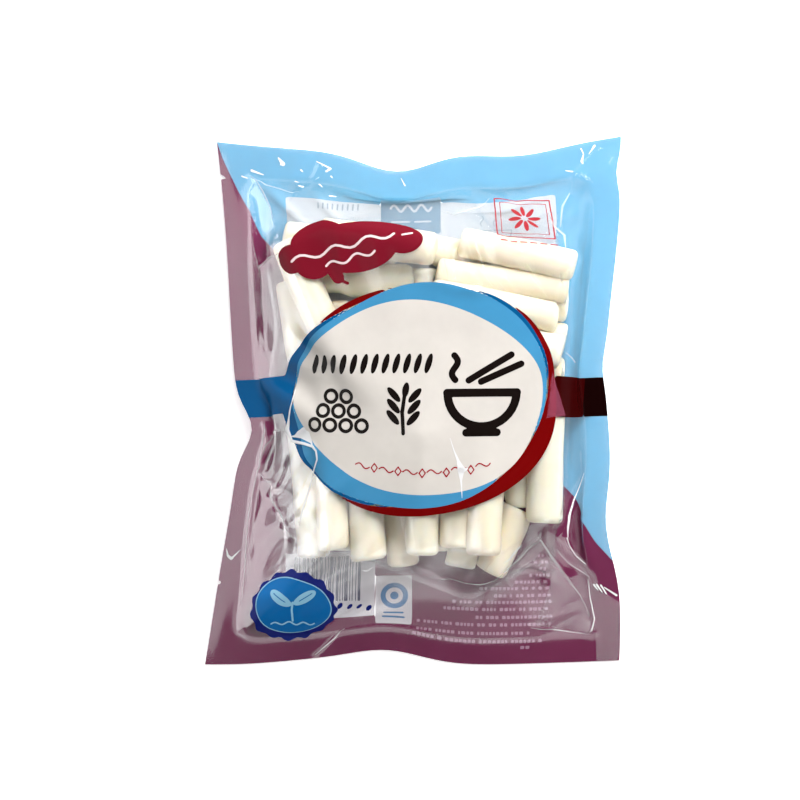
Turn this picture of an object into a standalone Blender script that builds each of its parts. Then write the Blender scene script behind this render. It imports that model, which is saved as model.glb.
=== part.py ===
# A sealed flat pouch of rice cake sticks, lying on its back as one closed solid.
# Metres, +Z up. The origin is under the middle of the pouch, on the surface it lies on.
# +X runs across the pouch and +Y up its front, from the bottom seal to the top seal.

import math

import bmesh
import bpy
import numpy as np

MM = 0.001

# Driving dimensions of the pouch
HALF_WIDTH = 91.6 * MM
HALF_LENGTH = 116.2 * MM
SIDE_SEAL = 12.5 * MM
TOP_SEAL = 15.3 * MM
BOTTOM_SEAL = 12.1 * MM
SEAL_THICKNESS = 0.6 * MM

# How far each corner stands in from the corner of the bounding rectangle, as (x, y)
TOP_LEFT_INSET = (5.2 * MM, 2.4 * MM)
TOP_RIGHT_INSET = (0.2 * MM, 0.0)
BOTTOM_RIGHT_INSET = (1.0 * MM, 2.0 * MM)
BOTTOM_LEFT_INSET = (0.0, 0.2 * MM)

# How the filling draws each edge in: a bow over the whole edge, and dips, which are the place along it,
# the half width and the depth, in millimetres
LEFT_EDGE = (8.4, [(-11.3, 11.7, 6.6), (-23.0, 41.4, 4.0)])
RIGHT_EDGE = (-2.7, [(11.4, 59.9, 9.5), (-56.2, 22.3, 5.8), (100.4, 8.2, 2.1), (14.0, 10.0, 1.5)])
TOP_EDGE = (5.7, [(-9.9, 21.5, 8.5), (44.8, 24.1, 3.6)])
BOTTOM_EDGE = (-1.5, [(-11.2, 22.4, 6.3), (-41.8, 26.9, 2.7)])

# The seals lift off the table more where the edge is drawn in more
SEAL_LIFT = 2.0 * MM
LIFT_PER_PULL = 0.45
BACK_RAMP = 10.0 * MM

# The front film over the sticks, with the clear inner bag between them, and how far each cell of the
# mesh bulges where the pouch holds only air
FILM_OVER_STICKS = 1.7 * MM
FRONT_PUFF = 0.15 * MM
GAP_CELLS = 2

# The sticks: x, y of the middle, angle from +X, length, diameter, in millimetres and degrees
LOWER_STICKS = [
    (-32.0, 69.0, -5, 50.0, 14.5),
    (-24.8, 52.6, 0, 41.4, 14.5),
    (-48.5, 25.4, -80, 54.5, 15.0),
    (3.4, 29.8, 90, 56.0, 14.3),
    (22.7, 63.4, -9, 56.0, 14.5),
    (39.5, 45.8, -9, 56.0, 14.5),
    (39.0, 30.9, -9, 56.0, 14.5),
    (38.1, 15.9, -9, 56.0, 14.5),
    (-31.4, 19.7, -82, 48.0, 14.5),
    (-14.2, 19.2, 90, 49.0, 14.5),
    (-45.7, -40.2, -85, 56.5, 14.5),
    (-29.2, -38.0, -88, 55.0, 14.5),
    (-7.2, -43.7, -84, 57.0, 14.5),
    (8.7, -38.4, 90, 55.0, 14.5),
    (23.6, -45.9, 83, 54.5, 14.5),
    (39.2, -60.9, 67, 30.5, 14.5),
    (46.9, -21.3, 90, 50.2, 14.5),
]
UPPER_STICKS = [
    (38.6, 52.2, -7, 57.5, 12.8),
    (45.0, 63.6, -12, 51.0, 13.2),
    (34.6, 41.0, -11, 56.0, 13.6),
    (36.8, 24.9, -8, 56.0, 15.0),
    (-15.3, 68.5, -8, 50.0, 15.0),
    (-43.5, 43.8, -66, 56.0, 14.5),
    (-18.4, 19.0, -86, 46.0, 14.5),
    (-4.8, 20.0, 90, 46.0, 14.5),
    (-36.2, -36.2, -87, 56.5, 14.0),
    (-20.8, -44.2, -87, 50.3, 15.8),
    (4.0, -39.3, 90, 55.5, 14.5),
    (18.3, -36.7, 90, 54.5, 14.0),
    (32.0, -38.9, 86, 56.0, 15.8),
    (57.3, -25.2, 89, 56.0, 15.8),
]
STICK_END_ROUNDING = 2.5 * MM
PRESSED_TOGETHER = 0.86
CONTACT_PLACES = 17

# The mesh
SEAL_CELLS = 3
CELLS_ACROSS = 40
CELLS_ALONG = 52
RELAX_STEPS = 700
SHARP_ANGLE = 60

FILM_COLOUR = (0.45, 0.62, 0.80, 1.0)
FILM_ROUGHNESS = 0.25


def clear_scene():
    for item in list(bpy.data.objects):
        bpy.data.objects.remove(item, do_unlink=True)


# The outline

def pull_at(place, pulls, half_span):
    """How far an edge is drawn in at a place along it, nothing at its two corners."""
    bow, dips = pulls

    def total(along):
        return sum(depth * MM * np.exp(-((along / MM - centre) / width) ** 2) for centre, width, depth in dips)

    share = (place + half_span) / (2 * half_span)
    ends = (1 - share) * total(-half_span) + share * total(half_span)
    return bow * MM * (1 - (place / half_span) ** 2) + total(place) - ends


def edge_lines(u, v):
    """The four edges as arrays of x, y and depth of pull, from the shares u across and v along."""
    top_left = (-HALF_WIDTH + TOP_LEFT_INSET[0], HALF_LENGTH - TOP_LEFT_INSET[1])
    top_right = (HALF_WIDTH - TOP_RIGHT_INSET[0], HALF_LENGTH - TOP_RIGHT_INSET[1])
    bottom_right = (HALF_WIDTH - BOTTOM_RIGHT_INSET[0], -HALF_LENGTH + BOTTOM_RIGHT_INSET[1])
    bottom_left = (-HALF_WIDTH + BOTTOM_LEFT_INSET[0], -HALF_LENGTH + BOTTOM_LEFT_INSET[1])

    def line(start, end, share, pulls, half_span, inward):
        x = start[0] + (end[0] - start[0]) * share
        y = start[1] + (end[1] - start[1]) * share
        pull = pull_at((2 * share - 1) * half_span, pulls, half_span)
        return np.stack([x + inward[0] * pull, y + inward[1] * pull, pull])

    bottom = line(bottom_left, bottom_right, u, BOTTOM_EDGE, HALF_WIDTH, (0, 1))
    top = line(top_left, top_right, u, TOP_EDGE, HALF_WIDTH, (0, -1))
    left = line(bottom_left, top_left, v, LEFT_EDGE, HALF_LENGTH, (1, 0))
    right = line(bottom_right, top_right, v, RIGHT_EDGE, HALF_LENGTH, (-1, 0))
    return bottom, top, left, right


def spread_between_edges(u, v):
    """A smooth patch between the four edges: arrays of x, y and pull over the whole grid."""
    bottom, top, left, right = edge_lines(u, v)
    across = u[None, None, :]
    along = v[None, :, None]
    sides = left[:, :, None] * (1 - across) + right[:, :, None] * across
    ends = bottom[:, None, :] * (1 - along) + top[:, None, :] * along
    low = bottom[:, :1, None] * (1 - across) + bottom[:, -1:, None] * across
    high = top[:, :1, None] * (1 - across) + top[:, -1:, None] * across
    return sides + ends - low * (1 - along) - high * along


def cell_shares(low_seal, high_seal, span, cells):
    """Shares from 0 to 1 along one side, with lines of the grid on both inner edges of the seals."""
    low = np.linspace(0, low_seal / span, SEAL_CELLS + 1)
    high = np.linspace(1 - high_seal / span, 1, SEAL_CELLS + 1)
    middle = np.linspace(low[-1], high[0], cells + 1)
    return np.concatenate([low[:-1], middle, high[1:]])


# The filling

def lay_sticks():
    """Lay the sticks in turn, each at rest on those below, and give each its two end heights."""
    laid = []
    for x, y, angle, length, diameter in LOWER_STICKS:
        laid.append(stick(x, y, angle, length, diameter, diameter / 2, diameter / 2))
    for x, y, angle, length, diameter in UPPER_STICKS:
        start, end = resting_heights(stick(x, y, angle, length, diameter, 0, 0), laid)
        laid.append(stick(x, y, angle, length, diameter, start / MM, end / MM))
    return laid


def stick(x, y, angle, length, diameter, start_height, end_height):
    turn = math.radians(angle)
    return {
        "middle": np.array([x, y]) * MM,
        "along": np.array([math.cos(turn), math.sin(turn)]),
        "half": length * MM / 2,
        "radius": diameter * MM / 2,
        "heights": (start_height * MM, end_height * MM),
    }


def axis_height(item, place):
    share = (place / item["half"] + 1) / 2
    return item["heights"][0] * (1 - share) + item["heights"][1] * share


def resting_heights(item, laid):
    """End heights of a straight stick that touches what is under it on both sides of its middle."""
    places = np.linspace(-item["half"], item["half"], CONTACT_PLACES)
    points = item["middle"] + places[:, None] * item["along"]
    needed = np.full(len(places), item["radius"])
    for other in laid:
        offset = points - other["middle"]
        nearest = np.clip(offset @ other["along"], -other["half"], other["half"])
        distance = np.linalg.norm(offset - nearest[:, None] * other["along"], axis=1)
        reach = PRESSED_TOGETHER * (item["radius"] + other["radius"])
        rise = np.sqrt(np.maximum(reach ** 2 - distance ** 2, 0))
        touching = np.where(distance < reach, axis_height(other, nearest) + rise, 0)
        needed = np.maximum(needed, touching)
    middle = len(places) // 2
    best = (needed[middle], needed[middle], needed[middle])
    for left in range(middle):
        for right in range(middle + 1, len(places)):
            slope = (needed[right] - needed[left]) / (places[right] - places[left])
            height = needed[left] - slope * places[left]
            if height > best[0]:
                best = (height, height - slope * item["half"], height + slope * item["half"])
    return best[1], best[2]


def height_over_sticks(x, y, laid):
    """Height of the film where it lies on the sticks, and 0 where it lies on none."""
    height = np.zeros_like(x)
    for item in laid:
        across = np.array([-item["along"][1], item["along"][0]])
        place = (x - item["middle"][0]) * item["along"][0] + (y - item["middle"][1]) * item["along"][1]
        side = (x - item["middle"][0]) * across[0] + (y - item["middle"][1]) * across[1]
        past = np.maximum(np.abs(place) - (item["half"] - STICK_END_ROUNDING), 0)
        drop = STICK_END_ROUNDING - np.sqrt(np.maximum(STICK_END_ROUNDING ** 2 - past ** 2, 0))
        radius = item["radius"] - drop
        rise = np.sqrt(np.maximum(radius ** 2 - side ** 2, 0))
        over = (past < STICK_END_ROUNDING) & (np.abs(side) < radius)
        height = np.maximum(height, np.where(over, axis_height(item, place) + rise + FILM_OVER_STICKS, 0))
    return height


# The two films

def front_height(x, y, seal, in_seal, laid):
    """Height of the front film: stretched between the seals and over the sticks like a skin."""
    resting = height_over_sticks(x, y, laid)
    filled = resting > 0
    for _ in range(GAP_CELLS):
        filled[1:-1, 1:-1] |= filled[:-2, 1:-1] | filled[2:, 1:-1] | filled[1:-1, :-2] | filled[1:-1, 2:]
    load = np.where(filled, 0, FRONT_PUFF)
    height = np.maximum(seal, resting)
    for _ in range(RELAX_STEPS):
        spread = height.copy()
        spread[1:-1, 1:-1] = (height[:-2, 1:-1] + height[2:, 1:-1] + height[1:-1, :-2] + height[1:-1, 2:]) / 4
        height = np.where(in_seal, seal, np.maximum(spread + load, resting))
    return height


def back_height(x, y, seal, in_seal, u, v):
    """Height of the back film: flat on the table, rising to the seals over a short ramp."""
    left = x - x[:, SEAL_CELLS][:, None]
    right = x[:, -1 - SEAL_CELLS][:, None] - x
    low = y - y[SEAL_CELLS, :][None, :]
    high = y[-1 - SEAL_CELLS, :][None, :] - y
    inside = np.minimum(np.minimum(left, right), np.minimum(low, high))
    share = np.clip(inside / BACK_RAMP, 0, 1)
    ramp = 1 - share * share * (3 - 2 * share)
    return np.where(in_seal, seal - SEAL_THICKNESS, np.maximum(seal - SEAL_THICKNESS, 0) * ramp)


def build_pouch(collection):
    u = cell_shares(SIDE_SEAL, SIDE_SEAL, 2 * HALF_WIDTH, CELLS_ACROSS)
    v = cell_shares(BOTTOM_SEAL, TOP_SEAL, 2 * HALF_LENGTH, CELLS_ALONG)
    x, y, pull = spread_between_edges(u, v)
    x -= (x.min() + x.max()) / 2
    y -= (y.min() + y.max()) / 2
    columns = np.arange(len(u))
    rows = np.arange(len(v))
    side_seal = (columns <= SEAL_CELLS) | (columns >= len(u) - 1 - SEAL_CELLS)
    end_seal = (rows <= SEAL_CELLS) | (rows >= len(v) - 1 - SEAL_CELLS)
    in_seal = side_seal[None, :] | end_seal[:, None]
    seal = SEAL_THICKNESS + SEAL_LIFT + LIFT_PER_PULL * np.maximum(pull, -SEAL_LIFT)
    front = front_height(x, y, seal, in_seal, lay_sticks())
    back = back_height(x, y, seal, in_seal, u, v)

    # A flat grid made into a thin slab, whose two faces are then moved onto the two films
    model = bmesh.new()
    bmesh.ops.create_grid(model, x_segments=len(u) - 1, y_segments=len(v) - 1, size=0.5)
    bmesh.ops.solidify(model, geom=model.faces[:], thickness=SEAL_THICKNESS)
    middle_height = sum(vertex.co.z for vertex in model.verts) / len(model.verts)
    for vertex in model.verts:
        column = round((vertex.co.x + 0.5) * (len(u) - 1))
        row = round((vertex.co.y + 0.5) * (len(v) - 1))
        surface = front if vertex.co.z > middle_height else back
        vertex.co = (x[row, column], y[row, column], surface[row, column])

    # The part of the back that lies on the table is one flat face
    model.normal_update()
    lying = [face for face in model.faces if all(vertex.co.z == 0 for vertex in face.verts)]
    bmesh.ops.dissolve_faces(model, faces=lying)
    bmesh.ops.recalc_face_normals(model, faces=model.faces[:])

    mesh = bpy.data.meshes.new("pouch")
    model.to_mesh(mesh)
    model.free()
    mesh.shade_smooth()
    mesh.set_sharp_from_angle(angle=math.radians(SHARP_ANGLE))
    mesh.materials.append(film_material())
    pouch = bpy.data.objects.new("pouch", mesh)
    collection.objects.link(pouch)
    return pouch


def film_material():
    material = bpy.data.materials.new("printed film")
    material.use_nodes = True
    shader = material.node_tree.nodes["Principled BSDF"]
    shader.inputs["Base Color"].default_value = FILM_COLOUR
    shader.inputs["Roughness"].default_value = FILM_ROUGHNESS
    shader.inputs["Metallic"].default_value = 0.0
    return material


clear_scene()
pack = bpy.data.collections.new("rice_cake_pack")
bpy.context.scene.collection.children.link(pack)
build_pouch(pack)
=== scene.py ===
import math

import bpy
import numpy as np
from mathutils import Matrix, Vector


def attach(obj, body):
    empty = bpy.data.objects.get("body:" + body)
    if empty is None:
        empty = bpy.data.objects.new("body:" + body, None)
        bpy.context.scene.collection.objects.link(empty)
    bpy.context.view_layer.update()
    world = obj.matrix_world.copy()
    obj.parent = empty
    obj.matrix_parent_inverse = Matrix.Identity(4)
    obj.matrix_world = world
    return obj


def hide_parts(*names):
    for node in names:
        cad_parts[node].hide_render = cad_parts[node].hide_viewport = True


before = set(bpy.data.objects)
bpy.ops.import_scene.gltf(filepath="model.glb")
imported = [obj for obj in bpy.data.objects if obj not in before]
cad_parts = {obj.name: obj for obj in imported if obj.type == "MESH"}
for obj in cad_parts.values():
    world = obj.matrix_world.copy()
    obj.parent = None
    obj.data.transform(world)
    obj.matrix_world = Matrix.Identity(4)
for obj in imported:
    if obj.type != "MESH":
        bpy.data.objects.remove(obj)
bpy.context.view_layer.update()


# Rice cake sticks
# Thick sticks of steamed and pounded rice dough, pressed out in a rope, cut to length and packed soft
# in two loose layers. Each is rings along a slightly bent axis with cut ends, flattened where it
# presses on its neighbours, and it lies at rest on the sticks below it.

MM = 0.001
# x and y of the middle, angle from +X, length and diameter, in millimetres and degrees
LOWER_STICKS = [
    (-32.0, 69.0, -5, 50.0, 14.5),
    (-22.5, 52.6, 0, 46.5, 14.5),
    (-48.5, 25.4, -80, 54.5, 15.0),
    (3.4, 29.8, 90, 56.0, 14.3),
    (22.7, 63.4, -9, 56.0, 14.5),
    (39.5, 45.8, -9, 56.0, 14.5),
    (39.0, 30.9, -9, 56.0, 14.5),
    (38.1, 15.9, -9, 56.0, 14.5),
    (-31.4, 19.7, -82, 48.0, 14.5),
    (-14.2, 19.2, 90, 49.0, 14.5),
    (-45.7, -40.2, -85, 56.5, 14.5),
    (-29.2, -38.0, -88, 55.0, 14.5),
    (-7.2, -43.7, -84, 57.0, 14.5),
    (8.7, -38.4, 90, 55.0, 14.5),
    (23.6, -45.9, 83, 54.5, 14.5),
    (39.2, -60.9, 67, 30.5, 14.5),
    (46.9, -21.3, 90, 50.2, 14.5),
]
UPPER_STICKS = [
    (38.6, 52.2, -7, 57.5, 12.8),
    (45.0, 63.6, -12, 51.0, 13.2),
    (34.6, 41.0, -11, 56.0, 13.6),
    (36.8, 24.9, -8, 56.0, 15.0),
    (-15.3, 68.5, -8, 50.0, 15.0),
    (-43.5, 43.8, -66, 56.0, 14.5),
    (-18.4, 19.0, -86, 46.0, 14.5),
    (-4.8, 20.0, 90, 46.0, 14.5),
    (-36.2, -36.2, -87, 56.5, 14.0),
    (-20.8, -44.2, -87, 50.3, 15.8),
    (4.0, -39.3, 90, 55.5, 14.5),
    (18.3, -36.7, 90, 54.5, 14.0),
    (32.0, -38.9, 86, 56.0, 15.8),
    (57.3, -25.2, 89, 56.0, 15.8),
]
PRESSED_TOGETHER = 0.86
UNDER_STICKS = 0.6
CONTACT_PLACES = 17
RINGS = 26
RING_POINTS = 36
END_ROUNDING = 2.2
END_RINGS = (0.82, 0.5, 0.2)
LENGTH_BEND = 0.9
UPWARD_BEND = 0.5
LUMP_SHARE = 0.022
CUT_SLANT = 0.10
SHARP_EDGE_ANGLE = 50
RICE_IVORY = (0.90, 0.80, 0.62, 1.0)
RICE_PALE = (0.96, 0.92, 0.79, 1.0)
RICE_ROUGHNESS = 0.34
RICE_GLOW_DEPTH = 5.0


def make_stick(x, y, angle, length, diameter, start_height, end_height):
    """A straight stick, given by its place in plan, its size and the heights of its axis at both ends."""
    turn = math.radians(angle)
    return {
        "middle": np.array([x, y]),
        "along": np.array([math.cos(turn), math.sin(turn)]),
        "half": length / 2,
        "radius": diameter / 2,
        "heights": (start_height, end_height),
    }


def axis_height(stick, place):
    """Height of a stick's axis at a place along it."""
    share = (place / stick["half"] + 1) / 2
    return stick["heights"][0] * (1 - share) + stick["heights"][1] * share


def resting_heights(stick, laid):
    """End heights of a straight stick that touches what is under it on both sides of its middle."""
    places = np.linspace(-stick["half"], stick["half"], CONTACT_PLACES)
    points = stick["middle"] + places[:, None] * stick["along"]
    needed = np.full(len(places), stick["radius"])
    for other in laid:
        offset = points - other["middle"]
        nearest = np.clip(offset @ other["along"], -other["half"], other["half"])
        distance = np.linalg.norm(offset - nearest[:, None] * other["along"], axis=1)
        reach = PRESSED_TOGETHER * (stick["radius"] + other["radius"])
        rise = np.sqrt(np.maximum(reach ** 2 - distance ** 2, 0))
        touching = np.where(distance < reach, axis_height(other, nearest) + rise, 0)
        needed = np.maximum(needed, touching)
    middle = len(places) // 2
    best = (needed[middle],) * 3
    for left in range(middle):
        for right in range(middle + 1, len(places)):
            slope = (needed[right] - needed[left]) / (places[right] - places[left])
            height = needed[left] - slope * places[left]
            if height > best[0]:
                best = (height, height - slope * stick["half"], height + slope * stick["half"])
    return best[1], best[2]


def lay_sticks():
    """The lower sticks on the table, then each upper one at rest on those laid before it."""
    laid = [make_stick(*stick, stick[-1] / 2, stick[-1] / 2) for stick in LOWER_STICKS]
    for stick in UPPER_STICKS:
        laid.append(make_stick(*stick, *resting_heights(make_stick(*stick, 0, 0), laid)))
    return laid


def stick_frame(stick):
    """Middle of the axis in space, and the directions along it, across it and up from it."""
    rise = stick["heights"][1] - stick["heights"][0]
    along = np.array([*(stick["along"] * 2 * stick["half"]), rise])
    along /= np.linalg.norm(along)
    across = np.array([-stick["along"][1], stick["along"][0], 0.0])
    middle = np.array([*stick["middle"], sum(stick["heights"]) / 2 + UNDER_STICKS])
    return middle, along, across, np.cross(along, across)


def stick_points(stick, draw):
    """Rings of points from one end's middle to the other's, with small dents drawn at random."""
    middle, along, across, up = stick_frame(stick)
    half = stick["half"]
    phase = draw.uniform(0, 2 * math.pi, 8)
    slant = draw.uniform(-CUT_SLANT, CUT_SLANT, (2, 2))
    bend = draw.uniform(-LENGTH_BEND, LENGTH_BEND, 2)
    turn = np.linspace(0, 2 * math.pi, RING_POINTS, endpoint=False)
    places = half * np.sin(np.linspace(-math.pi / 2, math.pi / 2, RINGS))
    shares = [(-half, share) for share in reversed(END_RINGS)]
    shares += [(place, 1.0) for place in places]
    shares += [(half, share) for share in END_RINGS]
    rings = []
    for place, share in shares:
        past = max(abs(place) - (half - END_ROUNDING), 0)
        drop = END_ROUNDING - math.sqrt(max(END_ROUNDING ** 2 - past ** 2, 0))
        wave = place / half
        lumps = (
            np.sin(2 * turn + phase[0] + 1.3 * wave)
            + 0.7 * np.sin(3 * turn + phase[1] - 2.1 * wave)
            + 0.8 * np.sin(phase[2] + 3.4 * wave)
            + 0.5 * np.sin(phase[3] + 6.8 * wave + turn)
        )
        radius = (stick["radius"] * (1 + LUMP_SHARE * lumps) - drop) * share
        bow = 1 - wave ** 2
        side = radius * np.cos(turn) + bend[0] * bow
        lift = radius * np.sin(turn) + bend[1] * bow * UPWARD_BEND
        end = slant[0 if place < 0 else 1] * abs(wave) ** 3
        shift = end[0] * side + end[1] * lift
        rings.append(middle + np.outer(place + shift, along) + np.outer(side, across) + np.outer(lift, up))
    return np.array(rings)


def flatten_contacts(points, stick, others):
    """Move points that reach into a neighbour back to the plane halfway between the two axes."""
    for other in others:
        own_distance, own_axis = axis_distance(points, stick)
        distance, _ = axis_distance(points, other)
        own_share = own_distance / stick["radius"]
        share = distance / other["radius"]
        inside = (share < own_share) & (share < 1)
        back = np.where(inside, (own_share - share) / 2, 0) * stick["radius"]
        points += (own_axis - points) * (back / np.maximum(own_distance, 0.1))[..., None]
    points[..., 2] = np.maximum(points[..., 2], UNDER_STICKS)
    return points


def axis_distance(points, stick):
    """Distance of points from a stick's axis, and the nearest places on it."""
    middle, along, _, _ = stick_frame(stick)
    length = stick["half"] / max(np.linalg.norm(along[:2]), 0.1)
    place = np.clip((points - middle) @ along, -length, length)
    nearest = middle + place[..., None] * along
    return np.linalg.norm(points - nearest, axis=-1), nearest


def plug(target, value):
    """Link a field to an input socket, or set the socket to a constant."""
    if isinstance(value, Field):
        target.id_data.links.new(value.socket, target)
    else:
        target.default_value = value


class Field:
    """A socket of a material's nodes, so that shader maths is written as an expression."""

    def __init__(self, socket):
        self.socket = socket

    def node(self, kind, inputs, output=0, **settings):
        """An output of a new node, whose inputs are given by name or number."""
        made = self.socket.id_data.nodes.new(kind)
        for name, value in settings.items():
            setattr(made, name, value)
        for name, value in inputs.items():
            plug(made.inputs[name], value)
        return Field(made.outputs[output])

    def math(self, operation, *others):
        return self.node("ShaderNodeMath", dict(enumerate((self, *others))), operation=operation)

    def __add__(self, other):
        return self.math("ADD", other)

    __radd__ = __add__

    def __mul__(self, other):
        return self.math("MULTIPLY", other)

    def __sub__(self, other):
        return self.math("SUBTRACT", other)

    def __rsub__(self, other):
        return (self * -1) + other

    def clamped(self):
        return self.node("ShaderNodeClamp", {"Value": self})

    def mixed(self, low, high):
        """A colour between two others, with this field as the share of the second."""
        return self.node("ShaderNodeMix", {"Factor": self, 6: low, 7: high}, 2, data_type="RGBA")


def new_material(name):
    """An empty material: its shader node and a field to start expressions from."""
    material = bpy.data.materials.new(name)
    material.use_nodes = True
    tree = material.node_tree
    place = Field(tree.nodes.new("ShaderNodeTexCoord").outputs["Object"])
    return material, tree.nodes["Principled BSDF"], place


def feed(shader, **values):
    """Set or link the shader's inputs, named with _ for a space."""
    for name, value in values.items():
        plug(shader.inputs[name.replace("_", " ")], value)


def noise(place, scale, detail=2.0, roughness=0.5):
    """Cloudy variation about 0.5, with spots of about 1/scale metres."""
    settings = {"Vector": place, "Scale": scale, "Detail": detail, "Roughness": roughness}
    return place.node("ShaderNodeTexNoise", settings)


def bumpy(height, strength, depth):
    """The normals of a skin with bumps of some depth in millimetres."""
    return height.node("ShaderNodeBump", {"Height": height, "Strength": strength, "Distance": depth * MM})


def rice_cake_material():
    """Dense ivory dough that light goes a little way into, cloudy and a little different in each stick."""
    material, shader, place = new_material("rice_cake")
    cloud = noise(place, 90.0, 3.0)
    tint = place.node("ShaderNodeAttribute", {}, 2, attribute_name="tint")
    share = (cloud * 0.9 + tint * 0.8 - 0.35).clamped()
    grain = noise(place, 900.0, 2.0)
    skin = noise(place, 260.0, 3.0, 0.6)
    feed(
        shader,
        Base_Color=share.mixed(RICE_IVORY, RICE_PALE),
        Roughness=RICE_ROUGHNESS + (cloud - 0.5) * 0.2,
        Normal=bumpy(skin + grain * 0.15, 0.25, 0.4),
        Specular_IOR_Level=0.15,
        Subsurface_Weight=0.6,
        Subsurface_Radius=(1.0, 0.8, 0.55),
        Subsurface_Scale=RICE_GLOW_DEPTH * MM,
    )
    return material


def placed(name, data):
    """An object in the scene, from its mesh, light or camera."""
    made = bpy.data.objects.new(name, data)
    bpy.context.scene.collection.objects.link(made)
    return made


def new_piece(name, points, faces, materials):
    """A mesh object from points in millimetres, smooth, in place of the pouch's solid."""
    mesh = bpy.data.meshes.new(name)
    mesh.from_pydata((np.asarray(points, float) * MM).tolist(), [], faces)
    mesh.shade_smooth()
    for material in materials:
        mesh.materials.append(material)
    piece = placed(name, mesh)
    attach(piece, "root")
    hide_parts("pouch")
    return piece


def tube_faces(rings, around, first):
    """Quads between neighbouring rings and a fan of triangles onto each end's middle point, facing out."""
    faces = []
    for ring in range(rings - 1):
        for spot in range(around):
            here = first + ring * around + spot
            beside = first + ring * around + (spot + 1) % around
            faces.append((here, beside, beside + around, here + around))
    low = first + rings * around
    high = low + 1
    for spot in range(around):
        beside = (spot + 1) % around
        faces.append((low, first + beside, first + spot))
        last = first + (rings - 1) * around
        faces.append((high, last + spot, last + beside))
    return faces


laid_sticks = lay_sticks()
draw = np.random.RandomState(41)
stick_surfaces = []
mesh_points = []
mesh_faces = []
tints = []
for stick in laid_sticks:
    rings = stick_points(stick, draw)
    others = [other for other in laid_sticks if other is not stick]
    rings = flatten_contacts(rings, stick, others)
    ends = np.stack([rings[0].mean(axis=0), rings[-1].mean(axis=0)])
    first = sum(len(part) for part in mesh_points)
    stick_surfaces.append(np.concatenate([rings, rings[:, :1]], axis=1))
    mesh_faces += tube_faces(len(rings), RING_POINTS, first)
    mesh_points.append(np.concatenate([rings.reshape(-1, 3), ends]))
    tints += [draw.uniform(0, 1)] * (len(rings) * RING_POINTS + 2)
mesh_points = np.concatenate(mesh_points)
sticks = new_piece("rice_cake_sticks", mesh_points, mesh_faces, [rice_cake_material()])
sticks.data.attributes.new("tint", "FLOAT", "POINT").data.foreach_set("value", tints)
sticks.data.set_sharp_from_angle(angle=math.radians(SHARP_EDGE_ANGLE))


# Inner bag
# A thin clear bag that the maker closes round the sticks before they go in the printed pouch. It is
# two films joined at the rim, longer than the way over the sticks, so it lies on them in soft folds.

BAG_HALF_SIZE = (66.0, 84.0)
BAG_MIDDLE = (1.5, 1.5)
BAG_CELLS = (32, 40)
BAG_SEALS = (0.02, 0.02, 0.02)
BAG_SLACK = 0.035
BAG_RIM = (3.0, 0.4, 0.0, 0.0)
BAG_GAP = 0.1
BAG_OVER_STICKS = 0.4
BAG_UNDER_STICKS = 0.1
BAG_LOWEST = 0.3
BAG_INSETS = [(0.0, 0.0)] * 4
# How far each side is drawn in: a bow, and dips given by middle, width and depth
BAG_PULLS = {
    "left": (0.0, [(-10.0, 12.0, 5.0), (-62.0, 16.0, 9.0), (30.0, 18.0, 4.0)]),
    "right": (0.0, [(62.0, 22.0, 6.0), (8.0, 14.0, 3.0), (-64.0, 20.0, 8.0)]),
    "top": (0.0, [(-40.0, 16.0, 6.0), (10.0, 12.0, -3.0), (48.0, 16.0, 7.0)]),
    "bottom": (0.0, [(-20.0, 26.0, 12.0), (50.0, 20.0, 12.0), (24.0, 9.0, -3.0)]),
}
# How the films lie over the sticks, and the height maps that they are held by
POUCH_OVER_STICKS = 1.1
BRIDGE_RADIUS = 42.0
HEAP_BLOCK = 10.0
HEAP_EDGE_RADIUS = 5.0
HEAP_EDGE_HEIGHT = 5.5
MAP_CELL = 0.5
MAP_HALF = (104, 128)
DENSER = 6
OPEN = 99.0
# How the films settle
SEAL_STIFFNESS = 0.12
SEAL_CORNER = 9.0
STIFF_BESIDE_SEAL = 4.0
EASED_BESIDE_SEAL = 11.0
EASING_STEPS = 20
FILM_STIFFNESS = (0.05, 0.045, 0.04)
SETTLING_STEPS = (300, 250, 120)
TIGHTENING_STEPS = 600
END_RISE = 0.15
FOLDING_EASE = 0.6
# How clear film looks
FILM_TINT = (0.97, 0.97, 0.98, 1.0)
FILM_MIRROR = 0.05
CRINKLE_DEPTH = 0.6


def pull_at(place, pulls, half_span):
    """Depth of a drawn-in edge at a place along it: a bow and dips, nothing at the corners."""
    bow, dips = pulls

    def total(along):
        return sum(depth * np.exp(-((along - centre) / width) ** 2) for centre, width, depth in dips)

    share = (place + half_span) / (2 * half_span)
    ends = (1 - share) * total(-half_span) + share * total(half_span)
    return bow * (1 - (place / half_span) ** 2) + total(place) - ends


def film_shares(rows, columns):
    """How far across and along a film the points of its grid are, from 0 to 1."""
    return np.linspace(0, 1, columns)[None, :], np.linspace(0, 1, rows)[:, None]


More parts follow.
